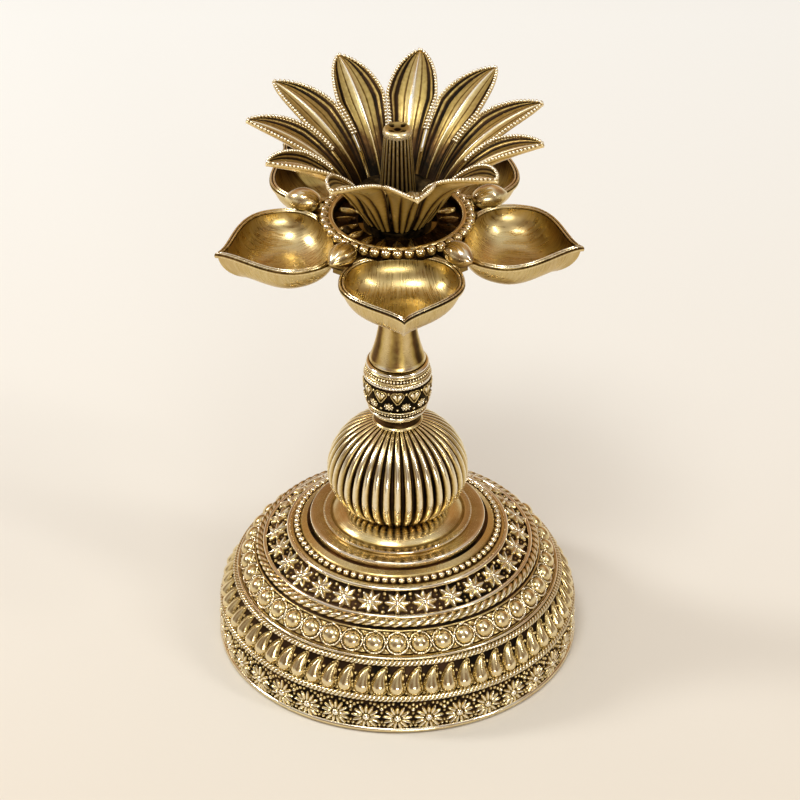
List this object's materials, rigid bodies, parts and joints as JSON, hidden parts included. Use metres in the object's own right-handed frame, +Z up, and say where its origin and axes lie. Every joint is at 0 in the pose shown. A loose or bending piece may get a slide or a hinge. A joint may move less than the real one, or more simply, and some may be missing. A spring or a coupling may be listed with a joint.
{
  "type": "aarti lamp",
  "caption": "Brass aarti lamp: carved domed base, ribbed ball and stem, tray of leaf-shaped oil bowls round a beaded well, and a lift-out lotus with a fluted incense holder.",
  "frame": {"origin": "on the lamp's axis, at the level of the surface that the base's rim stands on", "axes": "+Z up along the axis, -Y towards the viewer of the picture, +X to the right"},
  "size_m": [0.1374, 0.1382, 0.2231],
  "materials": {
    "carved_brass": "cast and carved antique brass with dark patina in the recesses",
    "ribbed_brass": "polished ribs with black patina in the grooves",
    "turned_brass": "turned brass with a soft satin polish",
    "bowl_brass": "brushed satin brass with small casting pits",
    "lotus_brass": "cast brass petals, bright on the ribs and dark in the channels",
    "rod_steel": "plain rolled steel thread, washers and nuts"
  },
  "bodies": {
    "base": {"base_dome": "carved_brass", "plinth_disc": "turned_brass", "ball_foot": "turned_brass", "ribbed_ball": "ribbed_brass", "neck_collar": "carved_brass", "neck_vase": "carved_brass", "stem_cone": "turned_brass", "tie_rod": "rod_steel", "base_washer": "rod_steel", "base_nut": "rod_steel", "top_washer": "rod_steel", "top_nut": "rod_steel"},
    "tray": {"tray_hub": "bowl_brass", "bead_ring": "carved_brass", "bowl_rivets": "bowl_brass", "bowl_1": "bowl_brass", "bowl_2": "bowl_brass", "bowl_3": "bowl_brass", "bowl_4": "bowl_brass", "bowl_5": "bowl_brass", "bud_1": "turned_brass", "bud_2": "turned_brass", "bud_3": "turned_brass", "bud_4": "turned_brass", "bud_5": "turned_brass"},
    "lotus": {"lotus_foot": "lotus_brass", "lotus_cup": "lotus_brass", "petal_1": "lotus_brass", "petal_2": "lotus_brass", "petal_3": "lotus_brass", "petal_4": "lotus_brass", "petal_5": "lotus_brass", "petal_6": "lotus_brass", "petal_7": "lotus_brass", "petal_8": "lotus_brass", "petal_9": "lotus_brass", "petal_10": "lotus_brass", "petal_11": "lotus_brass"},
    "holder": {"incense_cone": "lotus_brass", "incense_cap": "lotus_brass"}
  },
  "joints": [
    {"name": "tray_turn", "type": "hinge", "parent": "base", "child": "tray", "pos_m": [0, 0, 0.1775], "axis": [0, 0, 1], "continuous": true},
    {"name": "lotus_lift", "type": "slide", "parent": "tray", "child": "lotus", "axis": [0, 0, 1], "range_m": [0, 0.06]},
    {"name": "holder_lift", "type": "slide", "parent": "lotus", "child": "holder", "axis": [0, 0, 1], "range_m": [0, 0.045]}
  ]
}
